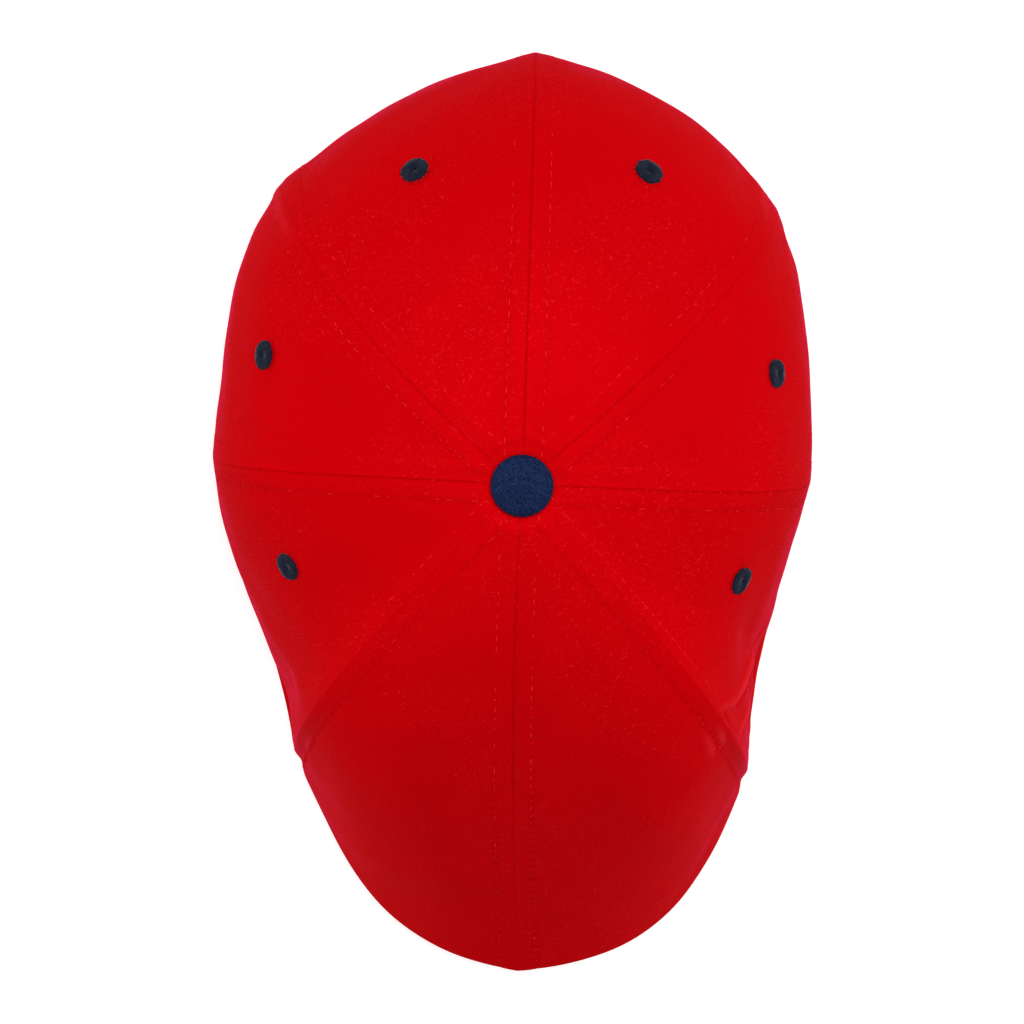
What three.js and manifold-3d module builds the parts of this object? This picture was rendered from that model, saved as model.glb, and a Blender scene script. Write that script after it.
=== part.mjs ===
// An eight panel flat cap of red cotton twill, whose two front panels run on over the peak.
// It has a navy cloth covered button on top and six navy sewn eyelets.
// Millimetres, +Z up. The back is +Y and the peak points to -Y.
// The origin is on the floor, under the middle of the cap.
import * as THREE from "three";
import { mergeVertices } from "three/addons/utils/BufferGeometryUtils.js";
import Module from "manifold-3d";

const manifold = await Module();
manifold.setup();

// Driving dimensions. The reaches are measured from the axis of the top button. The tucks are how far the
// head opening lies inside the crown's widest line, and its taper is the share of its width that it loses
// towards the forehead.
const BACK_REACH = 121;
const FRONT_REACH = 166;
const CROWN_WIDTH = 182;
const CROWN_HEIGHT = 120;
const OPENING_LENGTH = 208;
const OPENING_TAPER = 0.2;
const BACK_TUCK = 9;
const SIDE_TUCK = 4;
const CLOTH = 1.8;
const SEAM_GAP = 0.3;
const PIECE_GAP = 0.35;
const FOLD_DEPTH = 4;

// The peak: a board wrapped in cloth, a little lower at its tip. Its arch comes down to the floor at its
// two corners, and the arch's width is the distance between them.
const PEAK_THICKNESS = 3;
const PEAK_ARCH_WIDTH = 142;
const PEAK_RISE = 18;
const PEAK_DROP = 6;
const HEM_TUCK = 1;
// Shares along the temple panels: where their hem starts to leave the opening, and where the horns start.
const TEMPLE_HOLD_SHARE = 0.15;
const HORN_SHARE = 0.45;

const BAND_HEIGHT = 31;
const BAND_THICKNESS = 1.5;
const BAND_LIFT = 0.4;

const BUTTON_DIAMETER = 18;
const BUTTON_RISE = 4.6;
const BUTTON_EDGE = 1.5;
const BUTTON_ROUND = 0.9;
const BUTTON_HOLE_DIAMETER = 5.2;
const BUTTON_FLANGE_DIAMETER = 12;
const BUTTON_FLANGE = 1.2;

const EYELET_DIAMETER = 8.6;
const EYELET_BORE = 2;
const EYELET_NECK = 4.6;
const EYELET_RIM = 0.9;
// The rear rim stands off the cloth by this, because the cloth curves towards it.
const EYELET_SLACK = 0.8;

// Long enough to pass the cloth where it curves.
const DRILL_LENGTH = 4 * CLOTH;

// Facets of the faceted solids.
const PANEL_COLUMNS = 8;
const CROWN_ROWS = 13;
const HEM_ROWS = 4;
const PEAK_COLUMNS = 5;
const BAND_STEPS = 60;
const ROUND_STEPS = 32;
const EYELET_STEPS = 16;
const RIM_STEPS = 4;
const DOME_STEPS = 6;

// The share of a panel over which its slope is measured.
const STEP = 0.004;

// The power that sets where along a seam its sideways bow is greatest.
const SWAY_PEAK = 0.75;

const RED = "#c4040c";
const RED_UNDER = "#b0060d";
const NAVY = "#232a4a";

// One row for each seam, anticlockwise from the right. wideX and wideY place the seam's widest point, as
// shares of half the width and of the reach to the back or front. The width is the crown's, or the peak's
// for a seam that ends on it. wideZ is that point's share of the crown's height. hemTurn is the hem's place
// round the opening and fall the slope at the widest point, in degrees. shoulder and haunch are how far the
// crown stays level and how long it hangs straight, as shares of the reach and of the span, and sway is how
// far the seam bows sideways, as a share of its reach.
const SEAM_COLUMNS = [
  "name", "wideX", "wideY", "wideZ", "hemTurn", "fall", "shoulder", "haunch", "sway", "onPeak",
];
const SEAMS = asTable(SEAM_COLUMNS, [
  ["right", 0.96, -0.052, 0.3, -10, 88, 0.67, 0.46, 0.026, false],
  ["rear_right", 0.83, 0.6, 0.32, 38, 86, 0.57, 0.46, -0.018, false],
  ["back", 0.025, 0.98, 0.34, 90, 85, 0.5, 0.45, 0, false],
  ["rear_left", -0.795, 0.66, 0.32, 138, 86, 0.56, 0.46, 0.051, false],
  ["left", -1.03, -0.02, 0.3, 190, 88, 0.7, 0.46, -0.03, false],
  ["front_left", -0.98, -0.607, 0, 229, 76, 0.76, 0.4, -0.075, true],
  ["front", 0.01, -1.003, 0, 270, 42, 0.45, 0.3, -0.012, true],
  ["front_right", 1.005, -0.633, 0, 311, 76, 0.75, 0.4, 0.067, true],
]);

// One row for each panel, from the seam of the same row to the next. leave and arrive are the degrees by
// which the widest line turns outward from the straight line between its seams, and full is its roundness.
const PANEL_COLUMN_NAMES = ["name", "leave", "arrive", "full"];
const PANELS = asTable(PANEL_COLUMN_NAMES, [
  ["rear_right", 9, 13, 0.36],
  ["back_right", 21, 18, 0.4],
  ["back_left", 9, 11, 0.45],
  ["rear_left", 24, 7, 0.36],
  ["temple_left", 9, -5, 0.36],
  ["front_left", 22, 33, 0.46],
  ["front_right", 35, 29, 0.47],
  ["temple_right", -7, -5, 0.36],
]);

// Creases and hollows where the cloth gives. Each runs from one place on its panel to another: shares
// across the panel, and shares down it that are 1 at the widest line and 2 at the hem. width is in the
// same shares, and depth is a share of FOLD_DEPTH, hollow where it is above nought.
const FOLD_COLUMNS = ["panel", "acrossA", "downA", "acrossB", "downB", "width", "depth"];
const FOLDS = asTable(FOLD_COLUMNS, [
  ["temple_right", 0.42, 0.74, 0.22, 1.5, 0.13, 0.6],
  ["temple_right", 0.2, 0.86, 0.1, 1.5, 0.06, 0.35],
  ["temple_right", 0.32, 0.84, 0.14, 0.95, 0.05, -0.3],
  ["temple_left", 0.84, 0.8, 0.74, 1.5, 0.12, 0.55],
  ["rear_left", 0.1, 0.82, 0.12, 1.5, 0.07, 0.25],
  ["back_left", 0.88, 0.82, 0.9, 1.5, 0.08, 0.3],
  ["back_right", 0.14, 0.84, 0.16, 1.5, 0.09, 0.3],
  ["rear_right", 0.9, 0.84, 0.86, 1.5, 0.07, 0.25],
  ["front_left", 0.1, 0.72, 0.2, 0.9, 0.09, 0.25],
  ["front_right", 0.88, 0.74, 0.8, 0.9, 0.09, 0.25],
]);

// The eyelets, as shares across and down their panels.
const EYELET_COLUMNS = ["panel", "across", "down"];
const EYELETS = asTable(EYELET_COLUMNS, [
  ["back_left", 0.481, 0.67],
  ["back_right", 0.534, 0.669],
  ["rear_left", 0.516, 0.635],
  ["rear_right", 0.506, 0.664],
  ["temple_left", 0.396, 0.528],
  ["temple_right", 0.638, 0.565],
]);

const OPENING_WIDTH = CROWN_WIDTH - 2 * SIDE_TUCK;
const OPENING_Y = BACK_REACH - BACK_TUCK - OPENING_LENGTH / 2;
const ROOT_Y = OPENING_Y - OPENING_LENGTH / 2;
const BUTTON_HOLE = BUTTON_HOLE_DIAMETER / 2;

// Points closer than this are one point.
const MERGE = 0.001;

function asTable(columns, rows) {
  return rows.map((row) => Object.fromEntries(columns.map((column, i) => [column, row[i]])));
}

const radians = THREE.MathUtils.degToRad;
const clamp = THREE.MathUtils.clamp;
const smooth = (share) => share * share * (3 - 2 * share);
const mix = THREE.MathUtils.lerp;
const flat = (x, y) => new THREE.Vector2(x, y);
const raised = (plan, z) => new THREE.Vector3(plan.x, plan.y, z);

// Height of the peak's underside above the floor.
function peakUnder(x, y) {
  const arch = PEAK_RISE * (1 - ((2 * x) / PEAK_ARCH_WIDTH) ** 2);
  const drop = PEAK_DROP * clamp((ROOT_Y - y) / (ROOT_Y + FRONT_REACH), 0, 1);
  return Math.max(arch - drop, 0);
}

// A point on the edge of the head opening, or inside it by inset.
function openingPoint(turn, inset = 0) {
  const forward = Math.sin(radians(turn));
  const taper = 1 - OPENING_TAPER * Math.min(forward, 0) ** 2;
  const across = (OPENING_WIDTH / 2 - inset) * Math.cos(radians(turn)) * taper;
  return flat(across, OPENING_Y + (OPENING_LENGTH / 2 - inset) * forward);
}

const seamOf = (index) => SEAMS[(index + SEAMS.length) % SEAMS.length];
const panelIndex = (name) => PANELS.findIndex((panel) => panel.name === name);

function widePoint(seam) {
  const width = seam.onPeak ? PEAK_ARCH_WIDTH : CROWN_WIDTH;
  const reach = seam.wideY > 0 ? BACK_REACH : FRONT_REACH;
  return flat((seam.wideX * width) / 2, seam.wideY * reach);
}

// The widest line of a panel in plan: one cubic curve between its two seams.
function wideLine(index, across) {
  const { leave, arrive, full } = PANELS[index];
  const start = widePoint(seamOf(index));
  const end = widePoint(seamOf(index + 1));
  const chord = end.clone().sub(start);
  const origin = flat(0, 0);
  const out = chord.clone().rotateAround(origin, radians(-leave)).multiplyScalar(full);
  const back = chord.clone().rotateAround(origin, radians(arrive)).multiplyScalar(full);
  const curve = new THREE.CubicBezierCurve(start, start.clone().add(out), end.clone().sub(back), end);
  return curve.getPoint(across);
}

// The hem of a panel in plan. It follows the head opening, and at the temples it leaves that for the edge
// of the peak.
function hemLine(index, across) {
  const from = seamOf(index);
  const to = seamOf(index + 1);
  const opening = openingPoint(openingTurn(index, across));
  if (!from.onPeak && !to.onPeak) return opening;
  const wide = wideLine(index, across);
  const edge = wide.addScaledVector(wide.clone().normalize(), -HEM_TUCK);
  if (from.onPeak && to.onPeak) return edge;
  const nearness = ((from.onPeak ? 1 - across : across) - TEMPLE_HOLD_SHARE) / (1 - TEMPLE_HOLD_SHARE);
  return opening.lerp(edge, smooth(clamp(nearness, 0, 1)));
}

function openingTurn(index, across) {
  const from = seamOf(index).hemTurn;
  const sweep = (seamOf(index + 1).hemTurn - from + 360) % 360;
  return from + sweep * across;
}

// The plain outside of a panel: down is 0 at the button, 1 at the widest line and 2 at the hem.
function plainPoint(index, across, down) {
  const from = seamOf(index);
  const to = seamOf(index + 1);
  const between = (column) => mix(from[column], to[column], across);
  const wide = wideLine(index, across);
  const reach = wide.length();
  const outward = wide.clone().normalize();
  const rim = peakUnder(wide.x, wide.y) + PEAK_THICKNESS + CLOTH;
  const startZ = from.onPeak ? rim : from.wideZ * CROWN_HEIGHT;
  const endZ = to.onPeak ? rim : to.wideZ * CROWN_HEIGHT;
  const wideZ = mix(startZ, endZ, smooth(across));
  const fall = radians(between("fall"));
  const hang = raised(outward.clone().multiplyScalar(Math.cos(fall)), -Math.sin(fall));
  const edge = raised(wide, wideZ);
  if (down > 1) {
    const hem = hemLine(index, across);
    const hemZ = from.onPeak || to.onPeak ? peakUnder(hem.x, hem.y) : 0;
    const turn = edge.clone().addScaledVector(hang, Math.abs(wideZ - hemZ) / 2);
    return new THREE.QuadraticBezierCurve3(edge, turn, raised(hem, hemZ)).getPoint(down - 1);
  }
  const top = raised(outward.clone().multiplyScalar(BUTTON_HOLE), CROWN_HEIGHT);
  const level = BUTTON_HOLE + between("shoulder") * (reach - BUTTON_HOLE);
  const shoulder = raised(outward.clone().multiplyScalar(level), CROWN_HEIGHT);
  const span = Math.hypot(reach, CROWN_HEIGHT - wideZ);
  const haunch = edge.clone().addScaledVector(hang, -between("haunch") * span);
  const point = new THREE.CubicBezierCurve3(top, shoulder, haunch, edge).getPoint(down);
  const bow = between("sway") * reach * Math.sin(Math.PI * down ** SWAY_PEAK);
  return point.add(new THREE.Vector3(-outward.y * bow, outward.x * bow, 0));
}

// The direction square to a surface that is given as a function of shares across and down.
function squareTo(surface, across, down) {
  const left = clamp(across - STEP, 0, 1);
  const right = clamp(across + STEP, 0, 1);
  const above = clamp(down - STEP, 0, 2);
  const below = clamp(down + STEP, 0, 2);
  const sideways = surface(right, down).sub(surface(left, down));
  const downward = surface(across, below).sub(surface(across, above));
  return downward.cross(sideways).normalize();
}

// How deep the folds are at one place of a panel.
function foldDepth(name, across, down) {
  let depth = 0;
  for (const fold of FOLDS.filter((row) => row.panel === name)) {
    const run = flat(fold.acrossB - fold.acrossA, fold.downB - fold.downA);
    const here = flat(across - fold.acrossA, down - fold.downA);
    const share = clamp(here.dot(run) / run.lengthSq(), 0, 1);
    const away = here.addScaledVector(run, -share).length() / fold.width;
    depth += fold.depth * FOLD_DEPTH * Math.exp(-away * away);
  }
  // The folds fade out at the seams and above the hem, where the cloth is held.
  const held = Math.sin(Math.PI * clamp(across, 0, 1)) ** 0.5 * smooth(clamp(3 - 2 * down, 0, 1));
  return depth * held;
}

function panelPoint(index, across, down) {
  const plain = (a, d) => plainPoint(index, a, d);
  const point = plain(across, down);
  const depth = foldDepth(PANELS[index].name, across, down);
  return depth ? point.addScaledVector(squareTo(plain, across, down), -depth) : point;
}

const panelSquare = (index, across, down) =>
  squareTo((a, d) => panelPoint(index, a, d), across, down);

// Along a seam both panels share one direction, so that the walls between them stay parallel.
function seamSquare(index, down) {
  const before = (index + PANELS.length - 1) % PANELS.length;
  return panelSquare(before, 1, down).add(panelSquare(index % PANELS.length, 0, down)).normalize();
}

// The direction square to the hem in plan, pointing out.
function hemOut(index, across) {
  const ahead = hemLine(index, clamp(across + STEP, 0, 1));
  const behind = hemLine(index, clamp(across - STEP, 0, 1));
  const along = ahead.sub(behind);
  return flat(along.y, -along.x).normalize();
}

function seamHemOut(index) {
  const before = (index + PANELS.length - 1) % PANELS.length;
  return hemOut(before, 1).add(hemOut(index % PANELS.length, 0)).normalize();
}

const hemDirection = (index, column, columns) =>
  column === 0
    ? seamHemOut(index)
    : column === columns
      ? seamHemOut(index + 1)
      : hemOut(index, column / columns);

const downShares = [
  ...Array.from({ length: CROWN_ROWS }, (_, row) => row / CROWN_ROWS),
  ...Array.from({ length: HEM_ROWS + 1 }, (_, row) => 1 + row / HEM_ROWS),
];

// One panel as an outer and an inner grid of points, rows going down and columns anticlockwise.
function panelGrids(index) {
  const outer = [];
  const inner = [];
  for (const down of downShares) {
    const width = panelPoint(index, 1, down).distanceTo(panelPoint(index, 0, down));
    const trim = SEAM_GAP / 2 / width;
    const outerRow = [];
    const innerRow = [];
    for (let column = 0; column <= PANEL_COLUMNS; column++) {
      const across = mix(trim, 1 - trim, column / PANEL_COLUMNS);
      const point = panelPoint(index, across, down);
      const onSeam = column === 0 || column === PANEL_COLUMNS;
      const square = onSeam
        ? seamSquare(index + (column ? 1 : 0), down)
        : panelSquare(index, across, down);
      if (down === 2) square.copy(raised(hemDirection(index, column, PANEL_COLUMNS), 0));
      outerRow.push(point);
      innerRow.push(point.clone().addScaledVector(square, -CLOTH));
    }
    outer.push(outerRow);
    inner.push(innerRow);
  }
  return { outer, inner };
}

// A closed body between two grids of points of the same size, with a wall all round.
function slab({ outer, inner }) {
  const rows = outer.length;
  const columns = outer[0].length;
  const points = [...outer.flat(), ...inner.flat()];
  const faces = [];
  const at = (row, column) => row * columns + column;
  const under = rows * columns;
  for (let row = 0; row + 1 < rows; row++) {
    for (let column = 0; column + 1 < columns; column++) {
      const a = at(row, column);
      const b = at(row, column + 1);
      const c = at(row + 1, column + 1);
      const d = at(row + 1, column);
      faces.push([a, d, b], [b, d, c]);
      faces.push([under + a, under + b, under + d], [under + b, under + c, under + d]);
    }
  }
  const rim = [];
  for (let row = 0; row + 1 < rows; row++) rim.push(at(row, 0));
  for (let column = 0; column + 1 < columns; column++) rim.push(at(rows - 1, column));
  for (let row = rows - 1; row > 0; row--) rim.push(at(row, columns - 1));
  for (let column = columns - 1; column > 0; column--) rim.push(at(0, column));
  rim.forEach((p, i) => {
    const q = rim[(i + 1) % rim.length];
    faces.push([p, under + p, under + q], [p, under + q, q]);
  });
  return bodyFrom(points, faces);
}

function bodyFrom(points, faces) {
  const geometry = new THREE.BufferGeometry().setFromPoints(points);
  geometry.setIndex(faces.flat());
  return geometry;
}

function solidOf(geometry) {
  const bare = geometry.clone();
  bare.deleteAttribute("normal");
  bare.deleteAttribute("uv");
  const merged = mergeVertices(bare, MERGE);
  return new manifold.Manifold(
    new manifold.Mesh({
      numProp: 3,
      vertProperties: merged.attributes.position.array,
      triVerts: new Uint32Array(merged.index.array),
    }),
  );
}

function geometryOf(solid) {
  const { vertProperties, triVerts } = solid.getMesh();
  const geometry = new THREE.BufferGeometry();
  geometry.setAttribute("position", new THREE.BufferAttribute(vertProperties, 3));
  geometry.setIndex(new THREE.BufferAttribute(triVerts, 1));
  return geometry;
}

// Where an eyelet sits: the middle of the cloth at its place, and the way it faces.
function eyeletSeat({ panel, across, down }) {
  const index = panelIndex(panel);
  const square = panelSquare(index, across, down);
  const middle = panelPoint(index, across, down).addScaledVector(square, -CLOTH / 2);
  const facing = new THREE.Quaternion().setFromUnitVectors(new THREE.Vector3(0, 0, 1), square);
  return { middle, facing };
}

// A hole through the cloth for an eyelet's neck.
function eyeletHole(seat) {
  const radius = EYELET_NECK / 2 + PIECE_GAP;
  const drill = new THREE.CylinderGeometry(radius, radius, DRILL_LENGTH, EYELET_STEPS);
  drill.rotateX(Math.PI / 2).applyQuaternion(seat.facing);
  drill.translate(seat.middle.x, seat.middle.y, seat.middle.z);
  return solidOf(drill);
}

function panelGeometry(index) {
  let body = solidOf(slab(panelGrids(index)));
  for (const eyelet of EYELETS.filter((row) => row.panel === PANELS[index].name)) {
    body = body.subtract(eyeletHole(eyeletSeat(eyelet)));
  }
  return geometryOf(body);
}

const latheOf = (profile, steps) =>
  new THREE.LatheGeometry(profile.map(([r, z]) => flat(r, z)), steps).rotateX(Math.PI / 2);

// Points of a lathe profile on an arc round [r, z], turning from one angle to another.
function arc([r, z], radiusAcross, radiusUp, from, to, steps) {
  return Array.from({ length: steps + 1 }, (_, step) => {
    const turn = radians(mix(from, to, step / steps));
    return [r + radiusAcross * Math.cos(turn), z + radiusUp * Math.sin(turn)];
  });
}

// A sewn eyelet: a rounded rim over the cloth, a neck through it and a flat rim behind.
function eyeletGeometry() {
  const bore = EYELET_BORE / 2;
  const neck = EYELET_NECK / 2;
  const rim = EYELET_DIAMETER / 2;
  const face = CLOTH / 2 + PIECE_GAP;
  const back = CLOTH / 2 + EYELET_SLACK;
  const profile = [
    [bore, -back - EYELET_RIM],
    [rim, -back - EYELET_RIM],
    [rim, -back],
    [neck, -back],
    [neck, face],
    ...arc([(rim + bore) / 2, face], (rim - bore) / 2, EYELET_RIM, 0, 180, RIM_STEPS),
    [bore, -back - EYELET_RIM],
  ];
  return latheOf(profile, EYELET_STEPS);
}

// The top button: a cloth covered dome on a shank, held by a flat flange inside the crown.
function buttonGeometry() {
  const radius = BUTTON_DIAMETER / 2;
  const shank = BUTTON_HOLE - PIECE_GAP;
  const flange = BUTTON_FLANGE_DIAMETER / 2;
  const seat = CROWN_HEIGHT + PIECE_GAP;
  const inside = CROWN_HEIGHT - CLOTH - PIECE_GAP;
  const shoulder = seat + BUTTON_EDGE;
  const dome = arc([0, shoulder], radius, BUTTON_RISE - BUTTON_EDGE, 0, 90, DOME_STEPS);
  dome.at(-1)[0] = 0;
  const profile = [
    [0, inside - BUTTON_FLANGE],
    [flange, inside - BUTTON_FLANGE],
    [flange, inside],
    [shank, inside],
    [shank, seat],
    ...arc([radius - BUTTON_ROUND, seat + BUTTON_ROUND], BUTTON_ROUND, BUTTON_ROUND, -90, 0, 2),
    ...dome,
  ];
  return latheOf(profile, ROUND_STEPS);
}

// The peak: a crescent between the head opening and the hem of the panels that wrap its edge.
function peakGeometry() {
  const stations = [];
  const leftHorn = panelIndex("temple_left");
  const rightHorn = panelIndex("temple_right");
  for (let index = leftHorn; index <= rightHorn; index++) {
    for (let column = 0; column <= PANEL_COLUMNS; column++) {
      const across = column / PANEL_COLUMNS;
      const hidden = index === leftHorn ? across < HORN_SHARE : across > 1 - HORN_SHARE;
      if ((index === leftHorn || index === rightHorn) && hidden) continue;
      if (column === 0 && index > leftHorn) continue;
      stations.push({ index, column, across });
    }
  }
  const top = [];
  const bottom = [];
  for (let step = 0; step <= PEAK_COLUMNS; step++) {
    const share = step / PEAK_COLUMNS;
    const topRow = [];
    const bottomRow = [];
    for (const { index, column, across } of stations) {
      const edge = hemLine(index, across);
      edge.addScaledVector(hemDirection(index, column, PANEL_COLUMNS), -(CLOTH + PIECE_GAP));
      const root = openingPoint(openingTurn(index, across), CLOTH);
      const plan = root.lerp(edge, share);
      const under = peakUnder(plan.x, plan.y);
      bottomRow.push(raised(plan, under));
      topRow.push(raised(plan, under + PEAK_THICKNESS));
    }
    top.push(topRow);
    bottom.push(bottomRow);
  }
  return slab({ outer: top, inner: bottom });
}

// The sweatband stands just inside the opening, all the way round, on the floor or the peak's root.
function bandGeometry() {
  const outerInset = CLOTH + PIECE_GAP;
  const insets = [outerInset, outerInset, outerInset + BAND_THICKNESS, outerInset + BAND_THICKNESS];
  const points = [];
  for (let step = 0; step < BAND_STEPS; step++) {
    const turn = (360 * step) / BAND_STEPS;
    const foot = openingPoint(turn, outerInset);
    const lift = BAND_LIFT + (foot.y < OPENING_Y ? peakUnder(foot.x, foot.y) : 0);
    const heights = [lift, BAND_HEIGHT, BAND_HEIGHT, lift];
    insets.forEach((inset, i) => points.push(raised(openingPoint(turn, inset), heights[i])));
  }
  const faces = [];
  const corners = insets.length;
  for (let step = 0; step < BAND_STEPS; step++) {
    const here = step * corners;
    const next = ((step + 1) % BAND_STEPS) * corners;
    for (let i = 0; i < corners; i++) {
      const j = (i + 1) % corners;
      faces.push([here + i, next + i, here + j], [next + i, next + j, here + j]);
    }
  }
  return bodyFrom(points, faces);
}

const clothOf = (color) => new THREE.MeshStandardMaterial({ color, roughness: 0.9, metalness: 0 });
const redCloth = clothOf(RED);
const underCloth = clothOf(RED_UNDER);
const navyCloth = clothOf(NAVY);

const cap = new THREE.Group();

function add(name, geometry, material) {
  const mesh = new THREE.Mesh(geometry, material);
  mesh.name = name;
  cap.add(mesh);
  return mesh;
}

PANELS.forEach(({ name }, index) => add("panel_" + name, panelGeometry(index), redCloth));
add("peak", peakGeometry(), underCloth);
add("sweatband", bandGeometry(), navyCloth);
add("top_button", buttonGeometry(), navyCloth);
for (const eyelet of EYELETS) {
  const seat = eyeletSeat(eyelet);
  const mesh = add("eyelet_" + eyelet.panel, eyeletGeometry(), navyCloth);
  mesh.position.copy(seat.middle);
  mesh.quaternion.copy(seat.facing);
}

// The cap is drawn round the button's axis, and then moved so that the origin is under its middle.
const middle = new THREE.Box3().setFromObject(cap).getCenter(new THREE.Vector3());
cap.position.set(-middle.x, -middle.y, 0);

export default cap;
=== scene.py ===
import bpy
import numpy as np
from mathutils import Matrix, Vector


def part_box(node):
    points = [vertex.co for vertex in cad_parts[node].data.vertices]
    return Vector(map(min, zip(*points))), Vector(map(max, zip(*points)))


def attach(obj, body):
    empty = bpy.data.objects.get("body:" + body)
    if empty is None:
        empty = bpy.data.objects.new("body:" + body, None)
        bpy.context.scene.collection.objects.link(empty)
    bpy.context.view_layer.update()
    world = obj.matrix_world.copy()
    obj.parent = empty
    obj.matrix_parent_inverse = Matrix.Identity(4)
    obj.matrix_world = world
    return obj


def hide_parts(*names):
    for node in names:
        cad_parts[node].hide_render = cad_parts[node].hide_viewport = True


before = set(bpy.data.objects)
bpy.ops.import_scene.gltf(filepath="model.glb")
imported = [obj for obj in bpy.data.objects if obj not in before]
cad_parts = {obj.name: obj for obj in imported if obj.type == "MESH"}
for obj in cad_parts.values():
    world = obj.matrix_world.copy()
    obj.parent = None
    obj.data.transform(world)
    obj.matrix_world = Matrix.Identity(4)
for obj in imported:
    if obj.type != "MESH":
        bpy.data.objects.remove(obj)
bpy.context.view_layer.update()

# Everything is worked out in millimetres round the axis of the top button, and moved to its place in
# metres when a mesh is made. The back of the cap is +Y and the peak points to -Y.
METRE = 0.001

# The cap's own sizes, the same as those of its solids.
BACK_REACH = 121
FRONT_REACH = 166
CROWN_WIDTH = 182
CROWN_HEIGHT = 120
OPENING_LENGTH = 208
OPENING_TAPER = 0.2
BACK_TUCK = 9
SIDE_TUCK = 4
CLOTH = 1.8
PIECE_GAP = 0.35
FOLD_DEPTH = 4
PEAK_THICKNESS = 3
PEAK_ARCH_WIDTH = 142
PEAK_RISE = 18
PEAK_DROP = 6
HEM_TUCK = 1
TEMPLE_HOLD_SHARE = 0.15
HORN_SHARE = 0.45
BAND_HEIGHT = 31
BAND_THICKNESS = 1.5
BAND_LIFT = 0.4
BUTTON_DIAMETER = 18
BUTTON_RISE = 4.6
BUTTON_HOLE = 2.6
BUTTON_FLANGE_DIAMETER = 12
BUTTON_FLANGE = 1.2
EYELET_DIAMETER = 8.6
EYELET_NECK = 4.6
EYELET_SLACK = 0.8
EYELET_PLUMP = 1.15
SLIT_HALF_WIDTH = 0.3
SLIT_HALF_LENGTH = 0.85
SLOPE_STEP = 0.004
SWAY_PEAK = 0.75

OPENING_WIDTH = CROWN_WIDTH - 2 * SIDE_TUCK
OPENING_Y = BACK_REACH - BACK_TUCK - OPENING_LENGTH / 2
ROOT_Y = OPENING_Y - OPENING_LENGTH / 2

# Sewing. Stitches are a pitch apart, and a topstitched row runs beside its seam at a fixed distance.
STITCH_PITCH = 3.6
STITCH_LENGTH = 2.2
TOPSTITCH = 5.55
STITCH_LIFT = 0.16
STITCH_SPREAD = 0.1
THREAD_WIDTH = 0.3
THREAD_HEIGHT = 0.2
THREAD_SIDES = 6
ALLOWANCE = 0.28
SEAM_ROLL = 0.7
SEAM_DIP = 0.16
HEM_ROUND = 0.8
HEM_ROW = 4.0
# The row along the hem is sewn where the panel is this long and its widest line is this high.
HEM_ROW_LENGTH = 60
HEM_ROW_HEIGHT = 14
EYELET_THREADS = 44
BUTTON_GRAIN = 65

# Mesh density, and how many units of a mesh's cloth coordinates make a millimetre.
UV_SCALE = 0.01
COLUMNS_EDGE = 22
COLUMNS_MIDDLE = 60
EDGE_BAND = 8.0
DRILL_SIDES = 28
THREAD_STEPS = 7
CROWN_ROWS = 176
FRONT_ROWS = 216
HEM_ROWS = 44


def table(columns, rows):
    return [dict(zip(columns, row)) for row in rows]


# The seams and panels, the same as those of the solids. Each seam also says how strong its line is by the
# button and by the widest line. A topstitched row runs on both sides of it, and for each row there are
# three numbers: how plainly its threads show, how deep its stitches pull the cloth in, and how deep the
# cloth lies between it and the seam. Each panel also says how its ribs run in plan, in degrees.
SEAMS = table(
    ("name", "wide_x", "wide_y", "wide_z", "hem_turn", "fall", "shoulder", "haunch", "sway", "on_peak",
     "line_near", "line_far", "row_before", "row_after"),
    [
        ("right", 0.96, -0.052, 0.3, -10, 88, 0.67, 0.46, 0.026, False, 1.0, 0.8,
         (0.3, 0.7, 0.1), (0.15, 0.2, 0.0)),
        ("rear_right", 0.83, 0.6, 0.32, 38, 86, 0.57, 0.46, -0.018, False, 0.7, 0.1,
         (0.3, 0.2, 0.0), (0.7, 0.2, 0.0)),
        ("back", 0.025, 0.98, 0.34, 90, 85, 0.5, 0.45, 0, False, 1.0, 0.8,
         (1.0, 0.25, 0.0), (1.0, 0.25, 0.0)),
        ("rear_left", -0.795, 0.66, 0.32, 138, 86, 0.56, 0.46, 0.051, False, 0.7, 0.1,
         (0.4, 0.2, 0.0), (0.9, 0.25, 0.0)),
        ("left", -1.03, -0.02, 0.3, 190, 88, 0.7, 0.46, -0.03, False, 1.0, 0.75,
         (0.15, 0.2, 0.0), (0.3, 0.7, 0.1)),
        ("front_left", -0.98, -0.607, 0, 229, 76, 0.76, 0.4, -0.075, True, 0.35, 0.25,
         (0.3, 0.3, 0.0), (0.04, 1.3, 1.0)),
        ("front", 0.01, -1.003, 0, 270, 42, 0.45, 0.3, -0.012, True, 0.6, 0.15,
         (0.75, 1.0, 0.0), (0.75, 1.0, 0.0)),
        ("front_right", 1.005, -0.633, 0, 311, 76, 0.75, 0.4, 0.067, True, 0.3, 0.35,
         (0.06, 1.3, 1.0), (0.7, 0.4, 0.0)),
    ],
)
PANELS = table(
    ("name", "leave", "arrive", "full", "ribs"),
    [
        ("rear_right", 9, 13, 0.36, 5),
        ("back_right", 21, 18, 0.4, 63),
        ("back_left", 9, 11, 0.45, 114),
        ("rear_left", 24, 7, 0.36, 182),
        ("temple_left", 9, -5, 0.36, 210.5),
        ("front_left", 22, 33, 0.46, 252.6),
        ("front_right", 35, 29, 0.47, 285),
        ("temple_right", -7, -5, 0.36, 332),
    ],
)
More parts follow.
